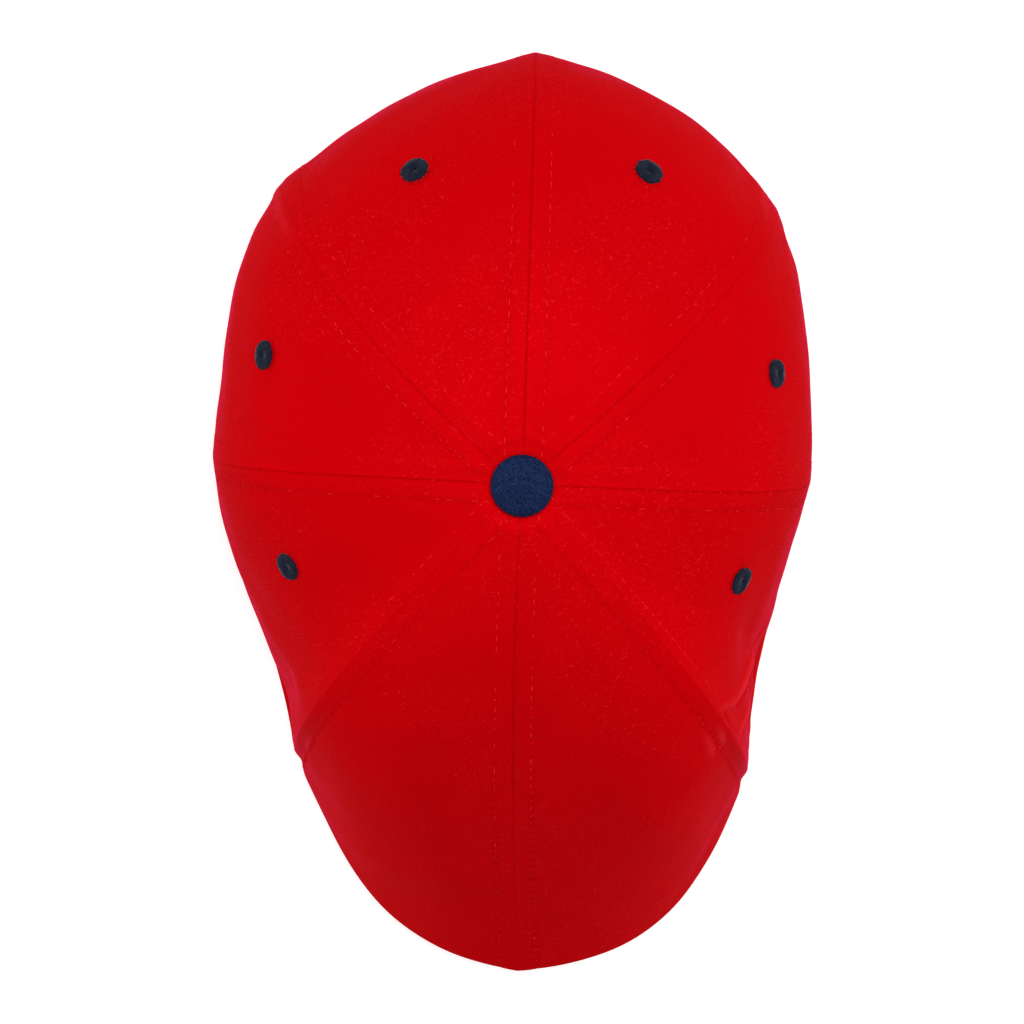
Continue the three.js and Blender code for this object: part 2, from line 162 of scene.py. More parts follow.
FOLDS = table(
    ("panel", "across_a", "down_a", "across_b", "down_b", "width", "depth"),
    [
        ("temple_right", 0.42, 0.74, 0.22, 1.5, 0.13, 0.6),
        ("temple_right", 0.2, 0.86, 0.1, 1.5, 0.06, 0.35),
        ("temple_right", 0.32, 0.84, 0.14, 0.95, 0.05, -0.3),
        ("temple_left", 0.84, 0.8, 0.74, 1.5, 0.12, 0.55),
        ("rear_left", 0.1, 0.82, 0.12, 1.5, 0.07, 0.25),
        ("back_left", 0.88, 0.82, 0.9, 1.5, 0.08, 0.3),
        ("back_right", 0.14, 0.84, 0.16, 1.5, 0.09, 0.3),
        ("rear_right", 0.9, 0.84, 0.86, 1.5, 0.07, 0.25),
        ("front_left", 0.1, 0.72, 0.2, 0.9, 0.09, 0.25),
        ("front_right", 0.88, 0.74, 0.8, 0.9, 0.09, 0.25),
    ],
)
# Finer creases than the solids have: a place across and down the panel at each end, the width in
# millimetres, and the depth, hollow where it is above nought.
CREASES = table(
    ("panel", "across_a", "down_a", "across_b", "down_b", "width", "depth"),
    [
        ("temple_right", 0.5, 0.95, 0.02, 0.49, 1.5, -1.5),
        ("temple_right", 0.39, 0.86, 0.1, 0.62, 1.5, 1.1),
        ("temple_right", 0.3, 0.9, 0.02, 0.64, 1.3, -1.1),
        ("temple_right", 0.22, 0.92, 0.05, 0.76, 1.6, 0.5),
        ("temple_right", 0.06, 0.5, 0.01, 0.57, 1.1, 0.5),
        ("front_right", 0.975, 0.51, 0.96, 0.59, 1.5, -0.5),
        ("front_right", 0.915, 0.49, 0.905, 0.57, 1.6, -0.5),
        ("back_right", 0.12, 1.3, 0.04, 0.84, 2.6, -0.4),
        ("back_right", 0.24, 1.25, 0.1, 0.83, 2.8, 0.35),
        ("rear_right", 0.97, 1.05, 0.8, 0.9, 2.6, -0.3),
        ("rear_left", 0.06, 1.2, 0.03, 0.72, 2.6, -0.45),
        ("back_left", 0.88, 1.25, 0.95, 0.8, 2.6, 0.4),
        ("temple_left", 0.97, 0.9, 0.86, 0.84, 2.2, -0.5),
        ("front_left", 0.03, 0.66, 0.05, 0.78, 1.7, -0.4),
    ],
)
EYELETS = table(
    ("panel", "across", "down"),
    [
        ("back_left", 0.481, 0.67),
        ("back_right", 0.534, 0.669),
        ("rear_left", 0.516, 0.635),
        ("rear_right", 0.506, 0.664),
        ("temple_left", 0.396, 0.528),
        ("temple_right", 0.638, 0.565),
    ],
)

button_low, button_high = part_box("top_button")
ORIGIN = np.array([(button_low.x + button_high.x) / 2, (button_low.y + button_high.y) / 2, 0]) / METRE


# The shape of the cap.


def unit(v):
    return v / np.maximum(np.linalg.norm(v, axis=-1, keepdims=True), 1e-12)


def smooth(share):
    share = np.clip(share, 0, 1)
    return share * share * (3 - 2 * share)


def mix(a, b, share):
    return a + (b - a) * share


def raised(plan, z):
    return np.concatenate([plan, np.asarray(z)[..., None]], -1)


def seam_of(index):
    return SEAMS[index % len(SEAMS)]


def panel_index(name):
    return [panel["name"] for panel in PANELS].index(name)


def peak_under(x, y):
    arch = PEAK_RISE * (1 - (2 * x / PEAK_ARCH_WIDTH) ** 2)
    drop = PEAK_DROP * np.clip((ROOT_Y - y) / (ROOT_Y + FRONT_REACH), 0, 1)
    return np.maximum(arch - drop, 0)


def opening_point(turn, inset=0.0):
    forward = np.sin(np.radians(turn))
    taper = 1 - OPENING_TAPER * np.minimum(forward, 0) ** 2
    across = (OPENING_WIDTH / 2 - inset) * np.cos(np.radians(turn)) * taper
    return np.stack([across, OPENING_Y + (OPENING_LENGTH / 2 - inset) * forward], -1)


def opening_turn(index, across):
    start = seam_of(index)["hem_turn"]
    return start + (seam_of(index + 1)["hem_turn"] - start) % 360 * across


def wide_point(seam):
    width = PEAK_ARCH_WIDTH if seam["on_peak"] else CROWN_WIDTH
    reach = BACK_REACH if seam["wide_y"] > 0 else FRONT_REACH
    return np.array([seam["wide_x"] * width / 2, seam["wide_y"] * reach])


def turned(v, degrees):
    c, s = np.cos(np.radians(degrees)), np.sin(np.radians(degrees))
    return np.array([c * v[0] - s * v[1], s * v[0] + c * v[1]])


def wide_line(index, across):
    panel = PANELS[index]
    start, end = wide_point(seam_of(index)), wide_point(seam_of(index + 1))
    chord = end - start
    out = start + turned(chord, -panel["leave"]) * panel["full"]
    back = end - turned(chord, panel["arrive"]) * panel["full"]
    t = across[..., None]
    return (1 - t) ** 3 * start + 3 * (1 - t) ** 2 * t * out + 3 * (1 - t) * t**2 * back + t**3 * end


def hem_line(index, across):
    before, after = seam_of(index), seam_of(index + 1)
    opening = opening_point(opening_turn(index, across))
    if not before["on_peak"] and not after["on_peak"]:
        return opening
    wide = wide_line(index, across)
    edge = wide - HEM_TUCK * unit(wide)
    if before["on_peak"] and after["on_peak"]:
        return edge
    nearness = (1 - across if before["on_peak"] else across) - TEMPLE_HOLD_SHARE
    return mix(opening, edge, smooth(nearness / (1 - TEMPLE_HOLD_SHARE))[..., None])


def plain_point(index, across, down):
    """The outside of a panel without folds. down is 0 at the button, 1 at the widest line, 2 at the hem."""
    before, after = seam_of(index), seam_of(index + 1)
    across, down = np.broadcast_arrays(np.asarray(across, float), np.asarray(down, float))
    between = {key: mix(before[key], after[key], across) for key in ("fall", "shoulder", "haunch", "sway")}
    wide = wide_line(index, across)
    reach = np.linalg.norm(wide, axis=-1)
    outward = unit(wide)
    rim = peak_under(wide[..., 0], wide[..., 1]) + PEAK_THICKNESS + CLOTH
    start_z = rim if before["on_peak"] else before["wide_z"] * CROWN_HEIGHT
    end_z = rim if after["on_peak"] else after["wide_z"] * CROWN_HEIGHT
    wide_z = mix(start_z, end_z, smooth(across))
    fall = np.radians(between["fall"])
    hang = raised(outward * np.cos(fall)[..., None], -np.sin(fall))
    edge = raised(wide, wide_z)
    hem = hem_line(index, across)
    hem_z = peak_under(hem[..., 0], hem[..., 1]) if before["on_peak"] or after["on_peak"] else 0 * across
    turn = edge + hang * (np.abs(wide_z - hem_z) / 2)[..., None]
    t = np.clip(down - 1, 0, 1)[..., None]
    side = (1 - t) ** 2 * edge + 2 * (1 - t) * t * turn + t**2 * raised(hem, hem_z)
    level = BUTTON_HOLE + between["shoulder"] * (reach - BUTTON_HOLE)
    flat = np.full(across.shape, float(CROWN_HEIGHT))
    top = raised(outward * BUTTON_HOLE, flat)
    shoulder = raised(outward * level[..., None], flat)
    span = np.hypot(reach, CROWN_HEIGHT - wide_z)
    haunch = edge - hang * (between["haunch"] * span)[..., None]
    share = np.clip(down, 0, 1)
    t = share[..., None]
    crown = (1 - t) ** 3 * top + 3 * (1 - t) ** 2 * t * shoulder + 3 * (1 - t) * t**2 * haunch + t**3 * edge
    bow = between["sway"] * reach * np.sin(np.pi * share**SWAY_PEAK)
    crown = crown + np.stack([-outward[..., 1] * bow, outward[..., 0] * bow, 0 * bow], -1)
    return np.where((down > 1)[..., None], side, crown)


def square_to(surface, across, down):
    left, right = np.clip(across - SLOPE_STEP, 0, 1), np.clip(across + SLOPE_STEP, 0, 1)
    above, below = np.clip(down - SLOPE_STEP, 0, 2), np.clip(down + SLOPE_STEP, 0, 2)
    sideways = surface(right, down) - surface(left, down)
    downward = surface(across, below) - surface(across, above)
    return unit(np.cross(downward, sideways))


def fold_depth(name, across, down, folds):
    depth = np.zeros(across.shape)
    for fold in folds:
        if fold["panel"] != name:
            continue
        run = np.array([fold["across_b"] - fold["across_a"], fold["down_b"] - fold["down_a"]])
        here = np.stack([across - fold["across_a"], down - fold["down_a"]], -1)
        share = np.clip(here @ run / (run @ run), 0, 1)
        away = np.linalg.norm(here - share[..., None] * run, axis=-1) / fold["width"]
        depth += fold["depth"] * FOLD_DEPTH * np.exp(-away * away)
    held = np.sqrt(np.sin(np.pi * np.clip(across, 0, 1))) * smooth(3 - 2 * down)
    return depth * held


def panel_point(index, across, down):
    across, down = np.broadcast_arrays(np.asarray(across, float), np.asarray(down, float))
    plain = plain_point(index, across, down)
    square = square_to(lambda a, d: plain_point(index, a, d), across, down)
    return plain - square * fold_depth(PANELS[index]["name"], across, down, FOLDS)[..., None]


def panel_square(index, across, down):
    return square_to(lambda a, d: panel_point(index, a, d), across, down)


def seam_square(index, down):
    one = np.ones(down.shape)
    before = panel_square((index - 1) % len(PANELS), one, down)
    after = panel_square(index % len(PANELS), 0 * one, down)
    return unit(before + after)


def hem_out(index, across):
    ahead = hem_line(index, np.clip(across + SLOPE_STEP, 0, 1))
    behind = hem_line(index, np.clip(across - SLOPE_STEP, 0, 1))
    along = ahead - behind
    return unit(np.stack([along[..., 1], -along[..., 0]], -1))


# Meshes.


def new_mesh(name, points, quads, uv, tris=(), marks=None):
    """A smooth mesh from points in millimetres. uv is one pair and marks one number for each point."""
    mesh = bpy.data.meshes.new(name)
    place = (np.asarray(points, float) + ORIGIN) * METRE
    quads = np.asarray(quads, np.int32).reshape(-1, 4)
    tris = np.asarray(tris, np.int32).reshape(-1, 3)
    corners = np.concatenate([quads.ravel(), tris.ravel()])
    sizes = np.concatenate([np.full(len(quads), 4), np.full(len(tris), 3)])
    mesh.vertices.add(len(place))
    mesh.vertices.foreach_set("co", place.astype(np.float32).ravel())
    mesh.loops.add(len(corners))
    mesh.loops.foreach_set("vertex_index", corners)
    mesh.polygons.add(len(sizes))
    mesh.polygons.foreach_set("loop_start", np.concatenate([[0], np.cumsum(sizes)[:-1]]).astype(np.int32))
    mesh.polygons.foreach_set("use_smooth", np.ones(len(sizes), bool))
    layer = mesh.uv_layers.new(name="cloth")
    layer.data.foreach_set("uv", np.asarray(uv, np.float32)[corners].ravel())
    for key, values in (marks or {}).items():
        mark = mesh.attributes.new(key, "FLOAT", "POINT")
        mark.data.foreach_set("value", np.asarray(values, np.float32))
    mesh.update(calc_edges=True)
    mesh.validate()
    return mesh


def add_piece(mesh, material, replaces=()):
    piece = bpy.data.objects.new(mesh.name, mesh)
    bpy.context.scene.collection.objects.link(piece)
    mesh.materials.append(material)
    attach(piece, "root")
    if replaces:
        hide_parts(*replaces)
    return piece


def grid_quads(rows, columns, start=0, flip=False, wrap=False):
    """Faces of a grid of points, rows going down and columns anticlockwise seen from outside."""
    row = np.arange(rows - 1)[:, None]
    column = np.arange(columns if wrap else columns - 1)[None, :]
    a = start + row * columns + column
    b = start + row * columns + (column + 1) % columns
    quads = np.stack([a, a + columns, b + columns, b], -1).reshape(-1, 4)
    return quads[:, ::-1] if flip else quads


def ring_quads(rows, columns, flip=False):
    """Faces of a grid that closes on itself both ways."""
    first = np.arange(columns)
    last = (rows - 1) * columns + first
    close = np.stack([last, first, np.roll(first, -1), np.roll(last, -1)], -1)
    close = close[:, ::-1] if flip else close
    return np.concatenate([grid_quads(rows, columns, wrap=True, flip=flip), close])


def shell(outer, inner):
    """A closed body from a fine outer grid and an inner grid of every second row and column."""
    rows, columns = outer.shape[:2]
    low_rows, low_columns = inner.shape[:2]
    start = rows * columns
    quads = [grid_quads(rows, columns), grid_quads(low_rows, low_columns, start, flip=True)]
    fine = rim_of(rows, columns)
    coarse = start + rim_of(low_rows, low_columns)
    tris = []
    for k in range(len(coarse)):
        a, b, c = fine[2 * k], fine[(2 * k + 1) % len(fine)], fine[(2 * k + 2) % len(fine)]
        p, q = coarse[k], coarse[(k + 1) % len(coarse)]
        tris += [(a, p, b), (b, p, q), (b, q, c)]
    points = np.concatenate([outer.reshape(-1, 3), inner.reshape(-1, 3)])
    return points, np.concatenate(quads), tris


def rim_of(rows, columns):
    """The border of a grid, once round."""
    left = np.arange(rows - 1) * columns
    bottom = (rows - 1) * columns + np.arange(columns - 1)
    right = np.arange(rows - 1, 0, -1) * columns + columns - 1
    top = np.arange(columns - 1, 0, -1)
    return np.concatenate([left, bottom, right, top])


def tube(path, square):
    """A flat thread along a path, with its flat side on the cloth and closed, pointed ends."""
    along = unit(np.gradient(path, axis=0))
    across = unit(np.cross(along, square))
    sides = THREAD_SIDES
    turn = 2 * np.pi * np.arange(sides) / sides
    ring = across[:, None] * (THREAD_WIDTH / 2 * np.cos(turn))[:, None]
    ring = ring + square[:, None] * (THREAD_HEIGHT / 2 * np.sin(turn))[:, None]
    taper = np.ones(len(path))
    taper[[0, -1]] = 0.35
    points = (path[:, None] + ring * taper[:, None, None]).reshape(-1, 3)
    quads = grid_quads(len(path), sides, wrap=True)
    first, last = len(points), len(points) + 1
    points = np.concatenate([points, path[:1], path[-1:]])
    near = np.arange(sides)
    far = (len(path) - 1) * sides + near
    ends = [(first, near[k], near[(k + 1) % sides]) for k in range(sides)]
    ends += [(last, far[(k + 1) % sides], far[k]) for k in range(sides)]
    return points, quads, ends


class Batch:
    """Several small bodies gathered into one mesh."""

    def __init__(self):
        self.parts, self.count = [], 0

    def add(self, points, quads, tris, uv, shows):
        shown = np.full(len(points), shows)
        self.parts.append((points, quads + self.count, np.asarray(tris) + self.count, uv, shown))
        self.count += len(points)

    def mesh(self, name):
        points, quads, tris, uv, shows = [np.concatenate(part) for part in zip(*self.parts)]
        return new_mesh(name, points, quads, uv, tris, {"shows": shows})


# The cloth's own relief: seams, topstitching, puckers and softness, in millimetres above the solid.


def waves(rng, lengths, size):
    """A smooth random curve as a function of a distance: sines of these wavelengths."""
    phases = rng.uniform(0, 2 * np.pi, len(lengths))
    return lambda s: size * sum(np.sin(2 * np.pi * s / length + p) for length, p in zip(lengths, phases))


def stitch_wave(along):
    """1 at the needle holes, 0 in the middle of each stitch."""
    return 0.5 + 0.5 * np.cos(2 * np.pi * along / STITCH_PITCH)


def seam_relief(seam, away, along, down, row, rng):
    """Height beside a seam, with the painted shade in its groove, hollow and needle holes, and the painted
    highlight on the rolled cloth beside it.
    """
    dents, hollow = row[1:]
    strength = mix(seam["line_near"], seam["line_far"], smooth((down - 0.25) / 0.65))
    uneven = 1 + waves(rng, (5.3, 8.9, 15.7, 26), 0.11)(along)
    roll = np.clip(1 - away / SEAM_ROLL, 0, 1)
    height = -SEAM_DIP * mix(0.3, 1, strength) * uneven * (1 - np.sqrt(1 - roll**2))
    height -= 0.12 * np.exp(-((away / 2.8) ** 2))
    # Painted shade along the seam's groove.
    painted_shade = 0.2 * strength * uneven * np.exp(-((away / 0.5) ** 2))
    # Painted highlight on the rolled cloth just beside the seam.
    painted_highlight = 0.5 * strength * np.exp(-(((away - 1.25) / 0.6) ** 2))
    sunk = hollow * smooth((down - 0.3) / 0.4) * np.exp(-(((away - 0.62 * TOPSTITCH) / 2.3) ** 2))
    height -= 0.9 * sunk
    # Painted shade in the hollow between the row and the seam.
    painted_shade += 0.16 * sunk
    lasting = mix(1, 0.4, smooth((down - 0.8) / 0.2))
    height += ALLOWANCE * lasting * smooth((TOPSTITCH + 1.2 - away) / 1.8)
    lower = smooth((down - 0.25) / 0.4)
    pull = dents * mix(0.25, 1, lower) * (1 + waves(rng, (7.7, 13.1, 21), 0.14)(along))
    hole = stitch_wave(along)
    beside = (away - TOPSTITCH) / mix(0.55, 1.0, lower)
    height -= (0.05 + 0.2 * pull * hole) * np.exp(-(beside**2))
    height -= 0.06 * pull * hole * np.exp(-(((away - TOPSTITCH) / 2.0) ** 2))
    # Painted shade in the needle holes.
    painted_shade += 0.36 * pull * hole**4 * np.exp(-(beside**2))
    pucker = waves(rng, (4.1, 6.7, 9.8), 0.03)
    height += pucker(along + 0.35 * away) * np.exp(-(((away - TOPSTITCH) / 3.2) ** 2)) * (0.4 + 0.6 * dents)
    return height, painted_shade, painted_highlight


def crease_depth(name, base):
    """How deep the fine creases of a panel are at each point, and how near it is to a crest, where sheen is
    painted.
    """
    depth, crest = np.zeros(base.shape[:-1]), np.zeros(base.shape[:-1])
    flat_points = base.reshape(-1, 3)
    for crease in CREASES:
        if crease["panel"] != name:
            continue
        shares = np.linspace(0, 1, 48)
        line = panel_point(
            panel_index(name),
            mix(crease["across_a"], crease["across_b"], shares),
            mix(crease["down_a"], crease["down_b"], shares),
        )
        squared = ((flat_points[:, None] - line[None]) ** 2).sum(-1)
        nearest = squared.argmin(1)
        away = np.sqrt(squared[np.arange(len(nearest)), nearest]).reshape(depth.shape)
        share = shares[nearest].reshape(depth.shape)
        fade = np.sin(np.pi * np.clip(share, 0.02, 0.98)) ** 0.6
        depth += crease["depth"] * fade * np.exp(-((away / crease["width"]) ** 2))
        # Ridges, whose depth is below nought, get a painted sheen along their crests.
        if crease["depth"] < 0:
            height = min(1.0, -crease["depth"])
            crest = np.maximum(crest, height * fade * np.exp(-((away / crease["width"] / 0.75) ** 2)))
    return depth, crest


def panel_columns(index):
    """Shares across a panel, closer together by its seams."""
    width = np.linalg.norm(np.diff(wide_line(index, np.linspace(0, 1, 60)), axis=0), axis=1).sum()
    edge = EDGE_BAND / width * np.linspace(0, 1, COLUMNS_EDGE + 1) ** 1.25
    middle = np.linspace(edge[-1], 1 - edge[-1], COLUMNS_MIDDLE + 1)
    return np.concatenate([edge, middle[1:-1], 1 - edge[::-1]])


def panel_rows(index):
    """Shares down a panel, closer together at its hem."""
    on_peak = seam_of(index)["on_peak"] and seam_of(index + 1)["on_peak"]
    crown = np.linspace(0, 1, (FRONT_ROWS if on_peak else CROWN_ROWS) + 1)
    if on_peak:
        return np.concatenate([crown, 1 + np.linspace(0, 1, 15)[1:]])
    hem = 1 + np.linspace(0, 0.97, HEM_ROWS - 3)
    return np.concatenate([crown, hem[1:], [1.98, 1.988, 1.994, 2.0]])


def distances(points, axis):
    steps = np.linalg.norm(np.diff(points, axis=axis), axis=-1)
    start = np.zeros_like(np.take(steps, [0], axis=axis))
    return np.concatenate([start, np.cumsum(steps, axis=axis)], axis=axis)


def make_panel_surface(index):
    """All that is needed of one panel: its outer grid, the directions square to it and where seams are."""
    name = PANELS[index]["name"]
    columns, rows = panel_columns(index), panel_rows(index)
    base = panel_point(index, columns[None, :], rows[:, None])
    width = distances(base, 1)
    across = np.broadcast_to(columns[None, :], width.shape)
    down = np.broadcast_to(rows[:, None], across.shape)
    square = panel_square(index, across, down)
    from_start, from_end = width, width[:, -1:] - width
    for seam, away in ((index, from_start), (index + 1, from_end)):
        shared = seam_square(seam, rows)
        square = unit(mix(square, shared[:, None], np.exp(-away / 2.5)[..., None]))
    hem_side = raised(hem_out(index, across), 0 * across)
    square = unit(mix(square, hem_side, smooth((down - 1.9) / 0.1)[..., None]))
    along = distances(base, 0)
    to_hem = along[-1:] - along
    rng = np.random.default_rng(40 + index)
    relief = np.zeros(across.shape)
    painted_shade, painted_highlight = np.zeros(across.shape), np.zeros(across.shape)
    for away, along_seam, seam, side in (
        (from_start, along[:, :1], seam_of(index), "row_after"),
        (from_end, along[:, -1:], seam_of(index + 1), "row_before"),
    ):
        h, d, w = seam_relief(seam, away, along_seam + 0 * away, down, seam[side], rng)
        relief, painted_shade, painted_highlight = relief + h, np.maximum(painted_shade, d), np.maximum(painted_highlight, w)
    middle = smooth(np.minimum(from_start, from_end) / 14) * smooth(along / 20) * smooth(to_hem / 10)
    slack = waves(rng, (31, 47, 73), 0.11)(along + 0.6 * from_start)
    slack += waves(rng, (23, 39, 61), 0.09)(from_start - 0.5 * along)
    relief += slack * middle
    under_button = smooth((BUTTON_DIAMETER / 2 + 2.5 - along) / 4)
    relief = mix(relief, -0.25, under_button)
    from_axis = np.hypot(base[..., 0], base[..., 1])
    # Painted shadow round the button.
    painted_shade = np.maximum(painted_shade, 0.6 * smooth((BUTTON_DIAMETER / 2 + 1.7 - from_axis) / 2.6))
    creases, crest = crease_depth(name, base)
    held = smooth(np.minimum(from_start, from_end) / 2.5)
    relief -= creases * held
    relief += eyelet_relief(index, base)
    round_off = np.clip(1 - to_hem / HEM_ROUND, 0, 1)
    relief -= HEM_ROUND * (1 - np.sqrt(1 - round_off**2))
    center = across.shape[1] // 2
    fabric_across = width - width[:, center : center + 1]
    fabric_down = np.broadcast_to(along[:, center : center + 1], across.shape)
    outward = wide_line(index, np.array(0.5))
    turn = np.radians(PANELS[index]["ribs"]) - np.arctan2(outward[1], outward[0])
    uv = np.stack(
        [
            fabric_across * np.cos(turn) - fabric_down * np.sin(turn),
            fabric_down * np.cos(turn) + fabric_across * np.sin(turn),
        ],
        -1,
    )
    return {
        "name": name, "index": index, "base": base, "square": square, "down": down, "along": along,
        "outer": base + square * relief[..., None], "from_start": from_start, "from_end": from_end,
        "to_hem": to_hem, "painted_shade": np.clip(painted_shade, 0, 1), "painted_highlight": np.clip(painted_highlight, 0, 1),
        "crest": crest * held, "uv": uv,
    }


def eyelet_seat(eyelet):
    index = panel_index(eyelet["panel"])
    across, down = np.array(eyelet["across"]), np.array(eyelet["down"])
    square = panel_square(index, across, down)
    face = panel_point(index, across, down)
    level = unit(np.cross(square, np.array([0, 0, 1.0])))
    return {"face": face, "square": square, "x": level, "y": np.cross(square, level)}


def eyelet_relief(index, base):
    relief = np.zeros(base.shape[:-1])
    for eyelet in EYELETS:
        if eyelet["panel"] != PANELS[index]["name"]:
            continue
        seat = eyelet_seat(eyelet)
        to = base - seat["face"]
        away = np.linalg.norm(to, axis=-1)
        turn = np.arctan2(to @ seat["y"], to @ seat["x"])
        rim = EYELET_DIAMETER / 2
        relief -= 0.22 * np.exp(-(((away - rim) / 1.3) ** 2))
        relief += 0.07 * np.sin(9 * turn + index) * np.exp(-np.abs(away - rim - 1) / 2.2)
    return relief


def inner_grid(surface):
    base, square = surface["base"][::2, ::2], surface["square"][::2, ::2]
    inner = base - square * CLOTH
    round_off = np.clip(1 - surface["to_hem"][::2, ::2] / HEM_ROUND, 0, 1)
    inner += square * (HEM_ROUND * (1 - np.sqrt(1 - round_off**2)))[..., None]
    return inner


def add_panel(surface, material):
    name = "panel_" + surface["name"]
    points, quads, tris = shell(surface["outer"], inner_grid(surface))
    uv = np.concatenate([surface["uv"].reshape(-1, 2), surface["uv"][::2, ::2].reshape(-1, 2)]) * UV_SCALE
    # Painted shade, painted highlight and the crests that get painted sheen, one number for each point.
    marks = {
        key: np.concatenate([surface[key].ravel(), np.zeros(surface[key][::2, ::2].size)])
        for key in ("painted_shade", "painted_highlight", "crest")
    }
    mesh = new_mesh(name + "_cloth", points, quads, uv, tris, marks)
    piece = add_piece(mesh, material, [name])
    for eyelet in EYELETS:
        if eyelet["panel"] == surface["name"]:
            cut_hole(piece, eyelet_seat(eyelet))
    return piece


def cut_hole(piece, seat):
    """The punched hole under an eyelet."""
    radius = EYELET_NECK / 2 + PIECE_GAP
    sides = DRILL_SIDES
    turn = 2 * np.pi * np.arange(sides) / sides
    ring = seat["x"] * np.cos(turn)[:, None] + seat["y"] * np.sin(turn)[:, None]
    rings = [seat["face"] + ring * radius + seat["square"] * h for h in (2 * CLOTH, -3 * CLOTH)]
    points = [tuple((p + ORIGIN) * METRE) for p in np.concatenate(rings)]
    quads = [(k, sides + k, sides + (k + 1) % sides, (k + 1) % sides) for k in range(sides)]
    caps = [tuple(range(sides)), tuple(range(2 * sides - 1, sides - 1, -1))]
    drill_mesh = bpy.data.meshes.new("drill")
    drill_mesh.from_pydata(points, [], quads + caps)
    drill = bpy.data.objects.new("drill", drill_mesh)
    bpy.context.scene.collection.objects.link(drill)
    cut = piece.modifiers.new("hole", "BOOLEAN")
    cut.operation, cut.object, cut.solver = "DIFFERENCE", drill, "MANIFOLD"
    bpy.context.view_layer.update()
    seen = piece.evaluated_get(bpy.context.evaluated_depsgraph_get())
    mesh = bpy.data.meshes.new_from_object(seen)
    piece.modifiers.clear()
    mesh.name = piece.data.name
    piece.data = mesh
    bpy.data.objects.remove(drill)


# Stitches.


def row_path(surface, distance, from_start):
    """The line on a panel at a distance from one of its seams, with the direction square to it."""
    away = surface["from_start"] if from_start else surface["from_end"]
    width = surface["from_start"][:, -1]
    points, squares, downs = [], [], []
    for r in range(away.shape[0]):
        if width[r] < distance + 0.4:
            continue
        order = slice(None) if from_start else slice(None, None, -1)
        at = np.interp(distance, away[r][order], np.arange(away.shape[1])[order])
        low = int(min(at, away.shape[1] - 2))
        share = at - low
        points.append(mix(surface["outer"][r, low], surface["outer"][r, low + 1], share))
        squares.append(mix(surface["square"][r, low], surface["square"][r, low + 1], share))
        downs.append(surface["down"][r, 0])
    return np.array(points), unit(np.array(squares)), np.array(downs)


def sew(batch, path, square, rng, shows):
    """Stitches along a path: short threads that dive into the cloth. Not all of them show plainly."""
    run = distances(path, 0)
    for number in range(int((run[-1] - STITCH_PITCH) / STITCH_PITCH)):
        middle = STITCH_PITCH / 2 + (number + 0.5) * STITCH_PITCH
        chance = np.interp(middle, run, shows)
        plain = rng.uniform(0.5, 1) if rng.random() < chance else rng.uniform(0, 0.06)
        half = STITCH_LENGTH / 2 * rng.uniform(0.85, 1.05)
        s = np.linspace(middle - half, middle + half, 7)
        points = np.stack([np.interp(s, run, path[:, k]) for k in range(3)], -1)
        up = unit(np.stack([np.interp(s, run, square[:, k]) for k in range(3)], -1))
        arc = 1 - ((s - middle) / half) ** 2
        side = unit(np.cross(unit(np.gradient(points, axis=0)), up))
        lean = rng.uniform(-STITCH_SPREAD, STITCH_SPREAD)
        sway = lean * (s - middle) / half + rng.uniform(-STITCH_SPREAD, STITCH_SPREAD) / 2
        rise = mix(0.35, 1, plain) * STITCH_LIFT
        points = points + up * (rise * (1.9 * np.sqrt(arc) - 0.9))[:, None] + side * sway[:, None]
        body, quads, ends = tube(points, up)
        lengths = np.concatenate([np.repeat(s, THREAD_SIDES), s[[0, -1]]]) * UV_SCALE
        batch.add(body, quads, ends, np.stack([lengths, 0 * lengths], -1), plain)


def add_topstitching(surfaces, material):
    rng = np.random.default_rng(7)
    for surface in surfaces:
        batch = Batch()
        index = surface["index"]
        for from_start, row in (
            (True, seam_of(index)["row_after"]),
            (False, seam_of(index + 1)["row_before"]),
        ):
            path, square, down = row_path(surface, TOPSTITCH, from_start)
            sew(batch, path, square, rng, row[0] * (1 - 0.8 * smooth((down - 0.4) / 0.4)))
        if not (seam_of(index)["on_peak"] and seam_of(index + 1)["on_peak"]):
            path, square = hem_path(surface)
            sew(batch, path, square, rng, np.full(len(path), 0.6))
        add_piece(batch.mesh("topstitching_" + surface["name"]), material)


def hem_path(surface):
    """The line at a fixed height above the hem, where the sweatband is sewn on."""
    points, squares = [], []
    for c in range(surface["to_hem"].shape[1]):
        to_hem = surface["to_hem"][::-1, c]
        if surface["along"][-1, c] < HEM_ROW_LENGTH or surface["outer"][-HEM_ROWS, c, 2] < HEM_ROW_HEIGHT:
            continue
        at = len(to_hem) - 1 - np.interp(HEM_ROW, to_hem, np.arange(len(to_hem)))
        low = int(min(at, len(to_hem) - 2))
        points.append(mix(surface["outer"][low, c], surface["outer"][low + 1, c], at - low))
        squares.append(mix(surface["square"][low, c], surface["square"][low + 1, c], at - low))
    return np.array(points), unit(np.array(squares))


# Materials.


